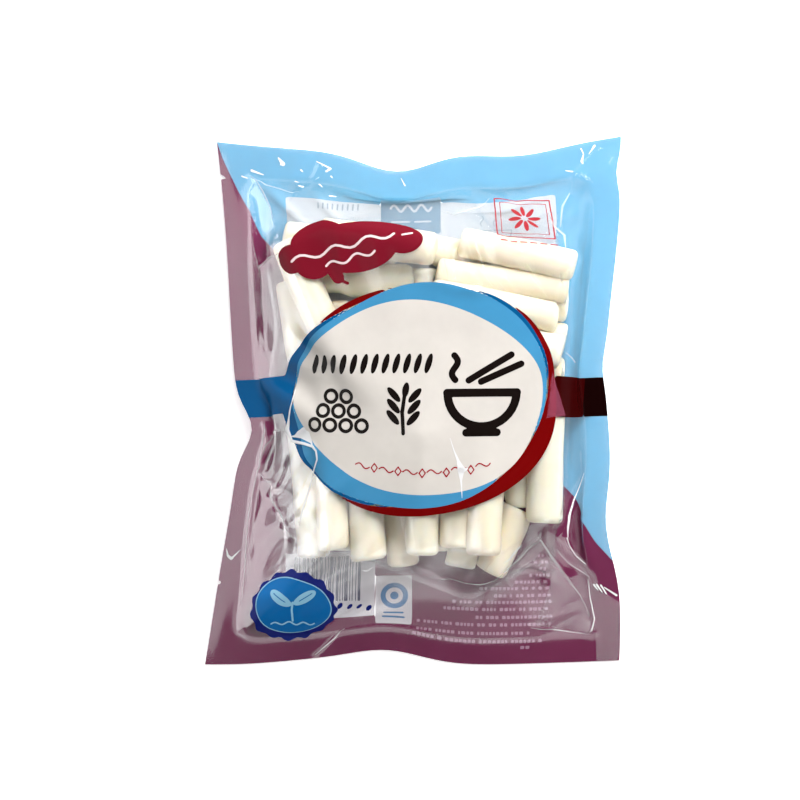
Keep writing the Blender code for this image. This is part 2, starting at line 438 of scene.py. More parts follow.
def film_patch(half_size, insets, pulls, cells):
    """A grid of x, y and depth of pull, spread smoothly between four drawn-in edges."""
    columns, rows = cells[0] + 1, cells[1] + 1
    top_left, top_right, bottom_right, bottom_left = (
        (right * (half_size[0] - inset[0]), up * (half_size[1] - inset[1]))
        for (right, up), inset in zip([(-1, 1), (1, 1), (1, -1), (-1, -1)], insets)
    )

    def edge(side, start, end, count, half_span, inward):
        share = np.linspace(0, 1, count)
        pull = pull_at((2 * share - 1) * half_span, pulls[side], half_span)
        x, y = (start[axis] + (end[axis] - start[axis]) * share + inward[axis] * pull for axis in (0, 1))
        return np.stack([x, y, pull * (END_RISE if inward[1] else 1.0)])

    bottom = edge("bottom", bottom_left, bottom_right, columns, half_size[0], (0, 1))
    top = edge("top", top_left, top_right, columns, half_size[0], (0, -1))
    left = edge("left", bottom_left, top_left, rows, half_size[1], (1, 0))
    right = edge("right", bottom_right, top_right, rows, half_size[1], (-1, 0))
    across, along = film_shares(rows, columns)
    sides = left[:, :, None] * (1 - across) + right[:, :, None] * across
    ends = bottom[:, None, :] * (1 - along) + top[:, None, :] * along
    low = bottom[:, :1, None] * (1 - across) + bottom[:, -1:, None] * across
    high = top[:, :1, None] * (1 - across) + top[:, -1:, None] * across
    return sides + ends - low * (1 - along) - high * along


def denser(grid, times):
    """The same surface with times as many cells each way."""
    for axis in (0, 1):
        grid = np.moveaxis(grid, axis, 0)
        place = np.linspace(0, len(grid) - 1, (len(grid) - 1) * times + 1)
        low = np.minimum(place.astype(int), len(grid) - 2)
        share = (place - low)[:, None, None]
        grid = np.moveaxis(grid[low] * (1 - share) + grid[low + 1] * share, 0, axis)
    return grid


def between(grid, row, column):
    """Values of a grid at places between its points."""
    row = np.clip(row, 0, grid.shape[0] - 1.001)
    column = np.clip(column, 0, grid.shape[1] - 1.001)
    low, left = row.astype(int), column.astype(int)
    up, across = row - low, column - left
    if grid.ndim == 3:
        up, across = up[:, None], across[:, None]
    below = grid[low, left] * (1 - across) + grid[low, left + 1] * across
    above = grid[low + 1, left] * (1 - across) + grid[low + 1, left + 1] * across
    return below * (1 - up) + above * up


class HeightMap:
    """Heights over a square grid of the table, read between its points."""

    def __init__(self, heights):
        self.heights = heights

    @classmethod
    def of(cls, surfaces, elsewhere=0.0, keep=np.maximum):
        """The upper side of some surfaces, or the under side where keep is np.minimum."""
        heights = np.full([int(2 * half / MAP_CELL) + 1 for half in reversed(MAP_HALF)], elsewhere)
        for surface in surfaces:
            points = denser(surface, DENSER).reshape(-1, 3)
            column, row = np.round((points[:, :2] + MAP_HALF) / MAP_CELL).astype(int).T
            keep.at(heights, (row, column), points[:, 2])
        return cls(heights)

    def at(self, x, y):
        return between(self.heights, (y + MAP_HALF[1]) / MAP_CELL, (x + MAP_HALF[0]) / MAP_CELL)

    def bridged(self, radius):
        """The map of a film stretched over this one, which bends into a hollow no tighter than radius."""
        heights = self.heights
        reach = int(math.sqrt(2 * radius * heights.max()) / MAP_CELL)
        for sign, keep in ((1, np.maximum), (-1, np.minimum)):
            for axis in (0, 1):
                best = heights
                for step in range(1, reach + 1):
                    fall = sign * (step * MAP_CELL) ** 2 / (2 * radius)
                    best = keep(best, np.roll(heights, step, axis) - fall)
                    best = keep(best, np.roll(heights, -step, axis) - fall)
                heights = best
        return HeightMap(heights)


def neighbour_pairs(rows, columns):
    """Pairs of neighbouring points, in groups that use no point twice, each with its step in cells."""
    pairs = []
    every, fore, aft = slice(None), slice(0, columns - 1), slice(1, columns)
    for start in (0, 1):
        low_rows, high_rows = slice(start, rows - 1, 2), slice(start + 1, rows, 2)
        low_columns, high_columns = slice(start, columns - 1, 2), slice(start + 1, columns, 2)
        pairs += [
            ((every, low_rows, every), (every, high_rows, every), (0, 1)),
            ((every, every, low_columns), (every, every, high_columns), (1, 0)),
            ((every, low_rows, fore), (every, high_rows, aft), (1, 1)),
            ((every, low_rows, aft), (every, high_rows, fore), (1, 1)),
        ]
    return pairs


def neighbour_mean(grids):
    """The mean of the four neighbours of each inner point of some grids."""
    return (grids[:, :-2, 1:-1] + grids[:, 2:, 1:-1] + grids[:, 1:-1, :-2] + grids[:, 1:-1, 2:]) / 4


def restore_length(points, free, first, second, rest):
    """Move pairs of film points back to their length in the free film, a shortening only in part."""
    apart = points[second] - points[first]
    length = np.sqrt((apart ** 2).sum(-1))
    error = length - rest
    error = np.where(error < 0, error * FOLDING_EASE, error)
    share = free[first] + free[second]
    step = apart * (error / np.maximum(length * share, 0.001))[..., None]
    points[first] += step * free[first][..., None]
    points[second] -= step * free[second][..., None]


def normals_of(film):
    """Unit normals over a film's grid of points, upwards."""
    normal = np.cross(np.gradient(film, axis=1), np.gradient(film, axis=0))
    return normal / np.maximum(np.linalg.norm(normal, axis=-1, keepdims=True), 1e-9)


def settle(films, lengths, fused, gap, limits, push, stiffness, steps):
    """Let a front and a back film find their shape round what is in them.

    The films keep the lengths of their cells, stay where they are where they are fused, and are pushed
    out by push. limits are height maps: the front film stays over the first and under the second, the
    back film under the third.
    """
    free = np.repeat(np.where(fused, 0.0, 1.0)[None], 2, axis=0)
    held = films.copy()
    floor, roof, ceiling = limits
    for _ in range(steps):
        films += np.stack([normals_of(films[0]), -normals_of(films[1])]) * (push * free)[..., None]
        for first, second, cells in neighbour_pairs(*films.shape[1:3]):
            across = lengths[0][first[:2]][..., None] * cells[0]
            along = lengths[1][first[0], first[2]][:, None, :] * cells[1]
            stiff = 1.0 if 0 in cells else 0.5
            restore_length(films, free * stiff + (1 - stiff) * 1e-9, first, second, np.hypot(across, along))
        films[:, 1:-1, 1:-1] += stiffness[1:-1, 1:-1, None] * (neighbour_mean(films) - films[:, 1:-1, 1:-1])
        front, back = films
        x, y = front[..., 0], front[..., 1]
        front[..., 2] = np.clip(front[..., 2], floor.at(x, y), roof.at(x, y))
        back[..., 2] = np.clip(back[..., 2], 0.0, ceiling.at(back[..., 0], back[..., 1]))
        front[..., 2] = np.maximum(front[..., 2], back[..., 2] + gap)
        films = np.where(free[..., None] > 0, films, held)
    return films


def pulled_tight(film, floor, fused):
    """A film pulled tight from its rim over what it covers, x and y staying as they are."""
    start = film[..., 2].copy()
    for _ in range(TIGHTENING_STEPS):
        height = film[..., 2]
        height[1:-1, 1:-1] = neighbour_mean(height[None])[0]
        film[..., 2] = np.where(fused, start, np.maximum(height, floor.at(film[..., 0], film[..., 1])))
    return film


def between_lines(values, count):
    """Values at count even places along each row of values."""
    places = np.linspace(0, 1, count)
    return np.stack([np.interp(places, np.linspace(0, 1, len(row)), row) for row in values])


def inside_seals(rows, columns, width, length, seals):
    """How far each point of a film is inside the seals, in millimetres, below zero in them."""
    across, along = film_shares(rows, columns)
    in_sides = (np.minimum(across, 1 - across) - seals[0]) * width
    in_ends = np.minimum(along - seals[1], 1 - along - seals[2]) * length
    in_corner = np.hypot(np.maximum(SEAL_CORNER - in_sides, 0), np.maximum(SEAL_CORNER - in_ends, 0))
    return np.minimum(np.minimum(in_sides, in_ends), SEAL_CORNER - in_corner)


def fill_pack(patch, seals, rim_shape, slack, gap, limits, air):
    """Close two films round what is in them, and let them settle on it.

    seals are the shares of the films joined at the sides, the bottom and the top. rim_shape is the height
    of their outer edge, its rise for each millimetre that it is drawn in, and the slopes of the side and
    end seals. slack is the share by which each film is longer than the way over what it covers, and air
    is how hard air pushes where it is empty.
    """
    x, y, pull = patch
    width, length = np.ptp(x), np.ptp(y)
    across, along = film_shares(*x.shape)
    from_sides, from_ends = np.minimum(across, 1 - across) * width, np.minimum(along, 1 - along) * length
    height, rise, side_slope, end_slope = rim_shape
    climb = np.minimum(side_slope * from_sides, end_slope * from_ends)
    rim = height + rise * np.maximum(pull, -1.0) + np.clip(climb, 0, side_slope * seals[0] * width)
    flat = np.stack([x, y, rim], axis=-1)
    for level, count in enumerate(SETTLING_STEPS):
        if level:
            films = np.stack([denser(film, 2) for film in films])
            flat = denser(flat, 2)
        rows, columns = flat.shape[:2]
        inside = inside_seals(rows, columns, width, length, seals)
        fused = inside <= 0
        if not level:
            films = np.stack([pulled_tight(flat.copy(), limits[0], fused), flat * np.array([1.0, 1.0, 0.0])])
        films[:, fused] = flat[fused]
        films[0, fused, 2] += gap
        if not level:
            whole_across = np.linalg.norm(np.diff(films, axis=2), axis=-1).sum(axis=2) * (1 + slack)
            whole_along = np.linalg.norm(np.diff(films, axis=1), axis=-1).sum(axis=1) * (1 + slack)
        lengths = (
            between_lines(whole_across, rows) / (columns - 1),
            between_lines(whole_along, columns) / (rows - 1),
        )
        empty = limits[0].at(films[0, ..., 0], films[0, ..., 1]) <= 0
        push = np.stack([np.where(empty, air, 0.0), np.full((rows, columns), air)])
        beside = np.exp(-np.maximum(inside, 0) / STIFF_BESIDE_SEAL)
        stiffness = FILM_STIFFNESS[level] + (SEAL_STIFFNESS - FILM_STIFFNESS[level]) * beside
        films = settle(films, lengths, fused, gap, limits, push, stiffness, count)
    share = np.exp(-(inside / EASED_BESIDE_SEAL) ** 2)[1:-1, 1:-1] / 2
    for _ in range(EASING_STEPS):
        height = films[..., 2]
        height[:, 1:-1, 1:-1] += share * (neighbour_mean(height) - height[:, 1:-1, 1:-1])
    return films


def cut_cells(value):
    """The part of a square grid where value is above zero, as points (row, column) and faces.

    A cell that the edge crosses is cut straight between the two places where value is zero.
    """
    inside = value > 0
    count = inside[:-1, :-1].astype(int) + inside[:-1, 1:] + inside[1:, 1:] + inside[1:, :-1]
    columns = value.shape[1]
    number = np.cumsum(inside.ravel()).reshape(inside.shape) - 1
    points = [tuple(spot) for spot in np.argwhere(inside)]
    low, left = np.argwhere(count == 4).T
    corners = [(low, left), (low, left + 1), (low + 1, left + 1), (low + 1, left)]
    faces = np.stack([number[corner] for corner in corners], axis=1).tolist()
    crossings = {}
    for row, column in np.argwhere((count > 0) & (count < 4)):
        ring = [(row, column), (row, column + 1), (row + 1, column + 1), (row + 1, column)]
        face = []
        for here, there in zip(ring, ring[1:] + ring[:1]):
            if inside[here]:
                face.append(int(number[here]))
            if inside[here] != inside[there]:
                key = tuple(sorted((here[0] * columns + here[1], there[0] * columns + there[1])))
                if key not in crossings:
                    share = value[here] / (value[here] - value[there])
                    crossings[key] = len(points)
                    row_step, column_step = there[0] - here[0], there[1] - here[1]
                    points.append((here[0] + row_step * share, here[1] + column_step * share))
                face.append(crossings[key])
        faces.append(face)
    return np.array(points, float).reshape(-1, 2), faces


def film_piece(name, film, parts, lift=0.0):
    """A piece that follows a film, lifted off it by lift.

    parts are (spots, faces, material), spots being rows and columns of the film's grid.
    """
    normals = normals_of(film)
    points, point_normals, faces, slots, materials = [], [], [], [], []
    for spots, part_faces, material in parts:
        first = sum(len(part) for part in points)
        normal = between(normals, *spots.T)
        points.append(between(film, *spots.T) + normal * lift)
        point_normals.append(normal)
        faces += [[first + corner for corner in face] for face in part_faces]
        if material not in materials:
            materials.append(material)
        slots += [materials.index(material)] * len(part_faces)
    piece = new_piece(name, np.concatenate(points), faces, materials)
    piece.data.polygons.foreach_set("material_index", slots)
    piece.data.normals_split_custom_set_from_vertices(np.concatenate(point_normals).tolist())


def crinkled(place, strength):
    """The normals of a film's fine crinkles."""
    return bumpy(noise(place, 130.0, 2.0, 0.6), strength, CRINKLE_DEPTH)


def clear_film_material(name, shine, haze, roughness, crinkle):
    """Clear film: it mirrors more at a slant, and is milky in patches."""
    material, shader, place = new_material(name)
    facing = place.node("ShaderNodeLayerWeight", {"Blend": 0.5}, 1)
    slant = facing.math("POWER", 5.0) * (1 - FILM_MIRROR) + FILM_MIRROR
    patches = noise(place, 28.0, 3.0, 0.6)
    feed(
        shader,
        Base_Color=FILM_TINT,
        Metallic=1.0,
        Roughness=roughness + (patches - 0.5) * 0.08,
        Alpha=(slant * shine + patches * haze).clamped(),
        Normal=crinkled(place, crinkle),
    )
    return material


sticks_top = HeightMap.of(stick_surfaces)
sticks_under = HeightMap.of(stick_surfaces, OPEN, np.minimum)
heap = HeightMap(np.where(sticks_top.heights > 0, HEAP_BLOCK, 0.0)).bridged(HEAP_EDGE_RADIUS)
heap = heap.heights > HEAP_EDGE_HEIGHT
over_sticks = HeightMap(np.where(sticks_top.heights > 0, sticks_top.heights + POUCH_OVER_STICKS, 0))
over_heap = np.where(heap, over_sticks.bridged(BRIDGE_RADIUS).heights, 0)
bag_limits = (
    HeightMap(np.where(sticks_top.heights > 0, sticks_top.heights + BAG_OVER_STICKS, 0)),
    HeightMap(np.where(heap, over_heap - BAG_OVER_STICKS, OPEN)),
    HeightMap(np.maximum(sticks_under.heights - BAG_UNDER_STICKS, BAG_LOWEST)),
)
patch = film_patch(BAG_HALF_SIZE, BAG_INSETS, BAG_PULLS, BAG_CELLS)
patch += np.array([*BAG_MIDDLE, 0.0])[:, None, None]
bag = fill_pack(patch, BAG_SEALS, BAG_RIM, BAG_SLACK, BAG_GAP, bag_limits, air=0.0)
bag[1, :, :, 2] = np.maximum(bag[1, :, :, 2], BAG_LOWEST)
bag_film = clear_film_material("inner_bag_film", shine=0.45, haze=0.04, roughness=0.26, crinkle=0.10)
for name, film in (("inner_bag_front", bag[0]), ("inner_bag_back", bag[1])):
    film_piece(name, film, [(*cut_cells(np.ones(film.shape[:2])), bag_film)])


# Back of the pouch
# The under film of the printed pouch: clear film printed all over on its inner side, blue above and plum
# below, with a white cooking panel and the pale boxes that a pack carries. Sealed to the front at the rim.

POUCH_HALF_SIZE = (91.6, 116.2)
POUCH_FLAT_SIZE = (190.0, 242.0)
POUCH_CELLS = (45, 58)
POUCH_INSETS = [(5.2, 2.4), (0.2, 0.0), (1.0, 2.0), (0.0, 0.2)]
POUCH_PULLS = {
    "left": (8.4, [(-11.3, 11.7, 6.6), (-23.0, 41.4, 4.0)]),
    "right": (-2.7, [(11.4, 59.9, 9.5), (-56.2, 22.3, 5.8), (100.4, 8.2, 2.1), (14.0, 10.0, 1.5)]),
    "top": (5.7, [(-9.9, 21.5, 8.5), (44.8, 24.1, 3.6)]),
    "bottom": (-1.5, [(-11.2, 22.4, 6.3), (-41.8, 26.9, 2.7)]),
}
POUCH_SEALS = (0.068, 0.052, 0.066)
POUCH_SLACK = 0.009
POUCH_RIM = (0.8, 0.45, 0.2, 0.045)
POUCH_OVER_BAG = 0.4
POUCH_UNDER_STICKS = 0.4
POUCH_ABOVE_TABLE = 0.05
FILM_GAP = 0.12
AIR_PUSH = 0.006
PRINT_CELL = 0.35
PRINT_LIFT = 0.07
INK_UNEVENNESS = 0.10
INK_ROUGHNESS = 0.2


def ink(name, on_screen, cover=1.0):
    """Ink under the film's gloss, a little uneven.

    on_screen is its colour in values of 0 to 255, and cover how much of what is behind it it hides.
    """
    material, shader, place = new_material(name)
    mottle = noise(place, 55.0, 3.0, 0.65)
    colour = [((value / 255 + 0.055) / 1.055) ** 2.4 for value in on_screen]
    dark = tuple(channel * (1 - INK_UNEVENNESS) for channel in colour) + (1.0,)
    pale = tuple(min(1.0, channel * (1 + INK_UNEVENNESS)) for channel in colour) + (1.0,)
    feed(
        shader,
        Base_Color=mottle.mixed(dark, pale),
        Roughness=INK_ROUGHNESS + (mottle - 0.5) * 0.1,
        Normal=crinkled(place, 0.06),
        Alpha=cover,
        Specular_IOR_Level=0.02,
        Coat_Weight=0.03,
        Coat_Roughness=0.06,
    )
    return material


class Area:
    """A printed area of the flat film, in millimetres from its middle.

    inside(u, v) is above zero in the area, and box is (low u, low v, high u, high v) round all of it.
    """

    def __init__(self, inside, box):
        self.inside = inside
        self.box = box

    def __sub__(self, other):
        return Area(lambda u, v: np.minimum(self.inside(u, v), -other.inside(u, v)), self.box)

    def __and__(self, other):
        return Area(lambda u, v: np.minimum(self.inside(u, v), other.inside(u, v)), self.box)


def joined(areas):
    """One area of many."""
    low_u, low_v, high_u, high_v = zip(*(area.box for area in areas))
    box = (min(low_u), min(low_v), max(high_u), max(high_v))
    return Area(lambda u, v: np.maximum.reduce([area.inside(u, v) for area in areas]), box)


def turned(u, v, middle, turn):
    """How far places are along and across a shape that is turned about its middle."""
    cos, sin = math.cos(math.radians(turn)), math.sin(math.radians(turn))
    u, v = u - middle[0], v - middle[1]
    return u * cos + v * sin, v * cos - u * sin


def oval(middle, radii, turn=0.0, waves=()):
    """An oval, its edge moved out and in by waves of (count round it, share of its size, turn)."""
    def inside(u, v):
        along, across = turned(u, v, middle, turn)
        angle = np.arctan2(across / radii[1], along / radii[0])
        edge = 1 + sum(share * np.cos(count * angle - math.radians(start)) for count, share, start in waves)
        return (edge - np.hypot(along / radii[0], across / radii[1])) * min(radii)

    reach = max(radii) * (1 + sum(abs(share) for _, share, _ in waves)) + 1
    return Area(inside, (middle[0] - reach, middle[1] - reach, middle[0] + reach, middle[1] + reach))


def box(middle, size, corner=0.0, turn=0.0):
    """A rectangle with rounded corners."""
    def inside(u, v):
        along, across = turned(u, v, middle, turn)
        past = np.abs(along) - size[0] / 2 + corner, np.abs(across) - size[1] / 2 + corner
        outside = np.hypot(np.maximum(past[0], 0), np.maximum(past[1], 0))
        return corner - outside - np.minimum(np.maximum(*past), 0)

    reach = math.hypot(*size) / 2 + 1
    return Area(inside, (middle[0] - reach, middle[1] - reach, middle[0] + reach, middle[1] + reach))


def tapered(points):
    """A round-ended line through some points, each given with the line's width there."""
    def inside(u, v):
        best = np.full(np.shape(u), -OPEN)
        for (u0, v0, first), (u1, v1, last) in zip(points, points[1:]):
            span = max((u1 - u0) ** 2 + (v1 - v0) ** 2, 1e-9)
            share = np.clip(((u - u0) * (u1 - u0) + (v - v0) * (v1 - v0)) / span, 0, 1)
            away = np.hypot(u - u0 - share * (u1 - u0), v - v0 - share * (v1 - v0))
            best = np.maximum(best, (first + (last - first) * share) / 2 - away)
        return best

    us, vs, widths = zip(*points)
    margin = max(widths) / 2 + 0.5
    return Area(inside, (min(us) - margin, min(vs) - margin, max(us) + margin, max(vs) + margin))


def stroke(points, width):
    """A round-ended line of one width."""
    return tapered([(*point, width) for point in points])


def enclosed(points):
    """The area that a ring of points encloses."""
    ring = points + points[:1]
    edge = stroke(ring, 0.0)

    def inside(u, v):
        within = np.zeros(np.shape(u), bool)
        for (u0, v0), (u1, v1) in zip(ring, ring[1:]):
            within ^= ((v0 > v) != (v1 > v)) & (u < u0 + (u1 - u0) * (v - v0) / ((v1 - v0) or 1.0))
        return np.where(within, -1, 1) * edge.inside(u, v)

    return Area(inside, edge.box)


def arc(middle, radii, start, end, count=12):
    """Points along part of an oval, from one angle to another."""
    turns = np.radians(np.linspace(start, end, count))
    return [(middle[0] + radii[0] * math.cos(turn), middle[1] + radii[1] * math.sin(turn)) for turn in turns]


def wave(start, end, height, swings, count=24):
    """Points along a wavy line between two places."""
    start, end = np.array(start, float), np.array(end, float)
    side = np.array([start[1] - end[1], end[0] - start[0]]) / math.dist(start, end)
    points = []
    for share in np.linspace(0, 1, count):
        sway = height * math.sin(share * swings * 2 * math.pi)
        points.append(tuple(start + (end - start) * share + side * sway))
    return points


def flat_places(film):
    """Where the points of the film's grid are on the flat film."""
    across, along = (np.linspace(-0.5, 0.5, count) for count in reversed(film.shape[:2]))
    return np.meshgrid(across * POUCH_FLAT_SIZE[0], along * POUCH_FLAT_SIZE[1])


def printed_film(name, film, layers):
    """A film cut into areas of different print, layers being (area, material) with the uppermost first.

    An area whose material is None is cut out of the film.
    """
    u, v = flat_places(film)
    covered = np.full(u.shape, -OPEN)
    parts = []
    for area, material in layers:
        value = area.inside(u, v)
        if material is not None:
            parts.append((*cut_cells(np.minimum(value, -covered)), material))
        covered = np.maximum(covered, value)
    film_piece(name, film, parts)


def fine_print(name, film, marks, lift, cell=PRINT_CELL):
    """Small print on a film, marks being (areas, material)."""
    parts = []
    for areas, material in marks:
        area = joined(areas)
        low_u, low_v, high_u, high_v = area.box
        u, v = np.meshgrid(np.arange(low_u, high_u + cell, cell), np.arange(low_v, high_v + cell, cell))
        spots, faces = cut_cells(area.inside(u, v))
        shares = (np.array([low_v, low_u]) + spots * cell) / POUCH_FLAT_SIZE[::-1] + 0.5
        parts.append((shares * (np.array(film.shape[:2]) - 1), faces, material))
    film_piece(name, film, parts, lift)


bag_map = HeightMap.of([bag[0]]).heights
pouch_limits = (
    HeightMap(np.maximum(over_heap, np.where(bag_map > 0, bag_map + POUCH_OVER_BAG, 0))),
    HeightMap(np.full_like(bag_map, OPEN)),
    HeightMap(np.maximum(sticks_under.heights - POUCH_UNDER_STICKS, 0)),
)
patch = film_patch(POUCH_HALF_SIZE, POUCH_INSETS, POUCH_PULLS, POUCH_CELLS)
pouch = fill_pack(patch, POUCH_SEALS, POUCH_RIM, POUCH_SLACK, FILM_GAP, pouch_limits, AIR_PUSH)
pouch[..., 2] += POUCH_ABOVE_TABLE

everywhere = Area(lambda u, v: np.full(u.shape, OPEN), (0, 0, 0, 0))
tear_notches = joined([
    enclosed([(-97.0, 106.6), (-91.8, 104.5), (-97.0, 102.9)]),
    enclosed([(-97.0, -81.3), (-92.0, -83.0), (-97.0, -84.2)]),
    enclosed([(97.0, -76.6), (93.6, -77.9), (97.0, -78.8)]),
])
BLUE_EDGE = [(-121, 122), (-84.0, 105.0), (-74.2, 94.4), (-65.6, 88.4), (-58.2, 84.6), (-50.0, 78.6),
             (-44.2, 74.6), (-39.6, 70.2), (-36.0, 66.5), (68.0, -66.0), (73.8, -70.9), (78.3, -75.1),
             (84.7, -78.7), (92.3, -83.9), (99.2, -87.3), (106.7, -90.5), (113.6, -93.2), (121.0, -95.0)]
sky_side = Area(lambda u, v: u - np.interp(v, *zip(*BLUE_EDGE)), (-95, -121, 95, 121))
# The panel's top edge, and its dip's middle, width and depth
PANEL_TOP = 97.9
PANEL_DIP = (-6.0, 26.0, 2.6)


def panel_top(u, v):
    """Above zero below the panel's top edge, which the film's folds draw down in the middle."""
    middle, width, depth = PANEL_DIP
    return PANEL_TOP - depth * np.exp(-((u - middle) / width) ** 2) - v


cooking_panel = box((0.6, 58.2), (128.4, 80.0), 1.5) & Area(panel_top, (0, 0, 0, 0))
heading_box = box((-3.9, 92.0), (28.5, 20.6), 0.6)
price_box = box((-40.4, -85.6), (42.2, 33.0), 0.3, 1.5)
stamp_box = box((-10.4, -93.0), (16.7, 24.4), 0.3, 1.5)

sky = ink("sky_blue_ink", (84, 162, 202), 0.84)
plum = ink("plum_ink", (116, 44, 79))
panel_white = ink("panel_white_ink", (198, 205, 214))
heading_blue = ink("heading_blue_ink", (128, 156, 180))
label_white = ink("label_white_ink", (214, 210, 216))
label_navy = ink("label_navy_ink", (62, 58, 92))
stamp_blue = ink("stamp_blue_ink", (70, 120, 170))
note_plum = ink("note_pale_plum_ink", (172, 128, 152))
note_grey = ink("note_grey_ink", (150, 165, 180))

back_layers = [
    (tear_notches, None),
    (heading_box, heading_blue),
    (price_box, label_white),
    (stamp_box, label_white),
    (cooking_panel, panel_white),
    (sky_side, sky),
    (everywhere, plum),
]
printed_film("pouch_back", pouch[1], back_layers)

draw = np.random.RandomState(7)
stripes = []
place = -57.6
while place < -25.2:
    width = draw.choice([0.45, 0.8, 1.2, 1.6])
    stripes.append(box((place + width / 2, -82.3), (width, 22.4), 0.0, 1.5))
    place += width + draw.choice([0.5, 0.7, 1.1])
# Right end, left end and height of each row of small print
NOTE_ROWS = [
    (63.0, 29.4, -85.9), (63.0, 36.3, -89.2), (63.0, 16.6, -92.2), (63.0, 12.6, -95.4), (63.5, 27.8, -99.0),
    (63.5, 0.5, -102.4), (55.5, 0.5, -106.3), (59.0, -1.0, -110.2), (55.0, 49.0, -113.2),
    (62.0, 57.0, -71.0), (62.0, 55.0, -74.0), (62.0, 57.5, -77.0), (62.0, 53.0, -80.0), (62.0, 46.0, -83.0),
]
notes = []
for right, left, height in NOTE_ROWS:
    place = left
    while place < right - 1.0:
        width = draw.uniform(1.0, 1.9)
        notes.append(box((place + width / 2, height), (width, 1.5)))
        place += width + draw.choice([0.5, 0.5, 0.5, 1.7])
heading_marks = [
    stroke(wave((-13.5, 94.0), (6.0, 94.0), 1.6, 3), 1.1),
    stroke([(-13.0, 87.5), (-4.5, 87.5)], 0.8),
    stroke([(-2.0, 87.5), (5.5, 87.5)], 0.8),
]
bowl = [
    stroke(arc((34.0, 82.0), (10.0, 7.0), 180, 360), 0.45),
    stroke([(24.0, 82.0), (44.0, 82.0)], 0.45),
    stroke(wave((30.0, 84.0), (30.0, 89.0), 0.7, 1), 0.4),
    stroke(wave((36.0, 84.0), (36.0, 89.5), 0.7, 1), 0.4),
    stroke([(-41.0, 82.5), (-26.0, 77.0)], 0.5),
    stroke([(-40.0, 84.0), (-25.0, 79.0)], 0.5),
    *(stroke([(-48.0 + 2.4 * index, 95.8), (-48.2 + 2.4 * index, 93.4)], 0.8) for index in range(9)),
]
STAMP_MIDDLE = (-10.2, -90.6)
stamp = [
    oval(STAMP_MIDDLE, (6.3, 6.3)) - oval(STAMP_MIDDLE, (4.0, 4.0)),
    oval(STAMP_MIDDLE, (1.9, 1.9)),
    stroke([(-14.5, -99.2), (-6.1, -99.0)], 0.9),
    stroke([(-15.1, -101.9), (-5.5, -101.7)], 0.9),
]
back_marks = [
    (stripes, label_navy),
    (notes[:len(notes) // 2], note_plum),
    (notes[len(notes) // 2:], note_plum),
    (heading_marks, panel_white),
    (bowl, note_grey),
    (stamp, stamp_blue),
]
fine_print("pouch_back_print", pouch[1], back_marks, PRINT_LIFT)


# Front of the pouch
# The upper film of the printed pouch: clear, so that the sticks show, with an oval label in white, blues
# and red that a band joins to both sides, a badge, and a few small figures. Its rim is sealed to the back.

# White of the film's painted highlights, painted sheen and painted reflections, and the cell sizes that they
# are cut at
PAINTED_LIGHT_WHITE = (249.3, 249.3, 250.5)
HIGHLIGHT_LINE_CELL = 0.2
REFLECTION_PATCH_CELL = 0.6
# Sharp creases, mostly where the filling draws the sides in: their points, height and half width
CREASES = [
    ([(-62.1, 6.3), (-65.1, -6.6), (-66.6, -11.6), (-64.0, -16.5), (-51.4, -18.7)], 0.5, 1.1),
    ([(-51.4, -18.7), (-49.3, -24.3), (-52.7, -34.4), (-54.8, -47.4), (-55.5, -53.7)], 0.4, 0.9),
    ([(-87.6, -9.3), (-83.6, -28.6), (-84.6, -41.7), (-83.0, -72.2), (-81.6, -94.0), (-81.0, -104.6)],
     0.6, 1.5),
    ([(-66.6, -11.6), (-83.0, -14.9), (-85.2, -18.9), (-84.1, -25.4)], 0.6, 1.4),
    ([(-82.9, -31.2), (-74.8, -35.3), (-70.1, -45.5), (-64.0, -54.1), (-57.2, -60.1)], 0.7, 1.8),
    ([(-78.1, 78.1), (-75.3, 69.9), (-72.7, 62.3), (-64.8, 65.6), (-60.8, 66.2)], 0.6, 1.3),
    ([(-72.7, 62.3), (-73.4, 54.7), (-75.3, 45.3), (-75.5, 35.7), (-75.4, 24.9)], 0.6, 1.5),
    ([(-78.6, 105.1), (-72.7, 96.6), (-68.1, 89.0), (-65.3, 82.7), (-61.4, 76.0)], 0.5, 1.4),
    ([(-80.5, 106.3), (-72.2, 100.4), (-63.1, 97.5), (-55.9, 96.1)], 0.4, 1.3),
    ([(77.9, -23.3), (79.0, -33.2), (70.4, -44.9), (67.6, -51.4), (66.5, -60.5)], 0.6, 1.3),
    ([(66.2, -60.7), (71.4, -69.3), (77.4, -74.2), (79.5, -80.5), (80.1, -91.3), (81.3, -106.0)], 0.7, 1.5),
    ([(53.0, -60.1), (61.4, -70.7), (69.1, -80.2), (75.3, -89.1), (81.9, -106.0)], 1.3, 3.2),
    ([(62.0, -65.6), (68.1, -72.2), (76.4, -77.9), (79.5, -80.5)], 0.6, 1.4),
    ([(52.9, -102.0), (64.4, -104.7), (78.7, -107.8)], 0.4, 1.2),
    ([(-32.4, -105.9), (-40.7, -115.7), (-44.7, -119.3)], 0.35, 1.0),
    ([(57.1, 87.6), (58.0, 80.0), (60.8, 75.3), (59.7, 68.3)], 0.5, 1.3),
    ([(69.3, 96.1), (64.1, 89.9), (60.4, 79.9)], 0.5, 1.4),
    ([(-47.0, 114.0), (-53.2, 100.3), (-59.3, 91.1)], 0.4, 1.3),
    ([(84.3, 116.0), (80.1, 112.6), (70.5, 102.1)], 0.4, 1.3),
]
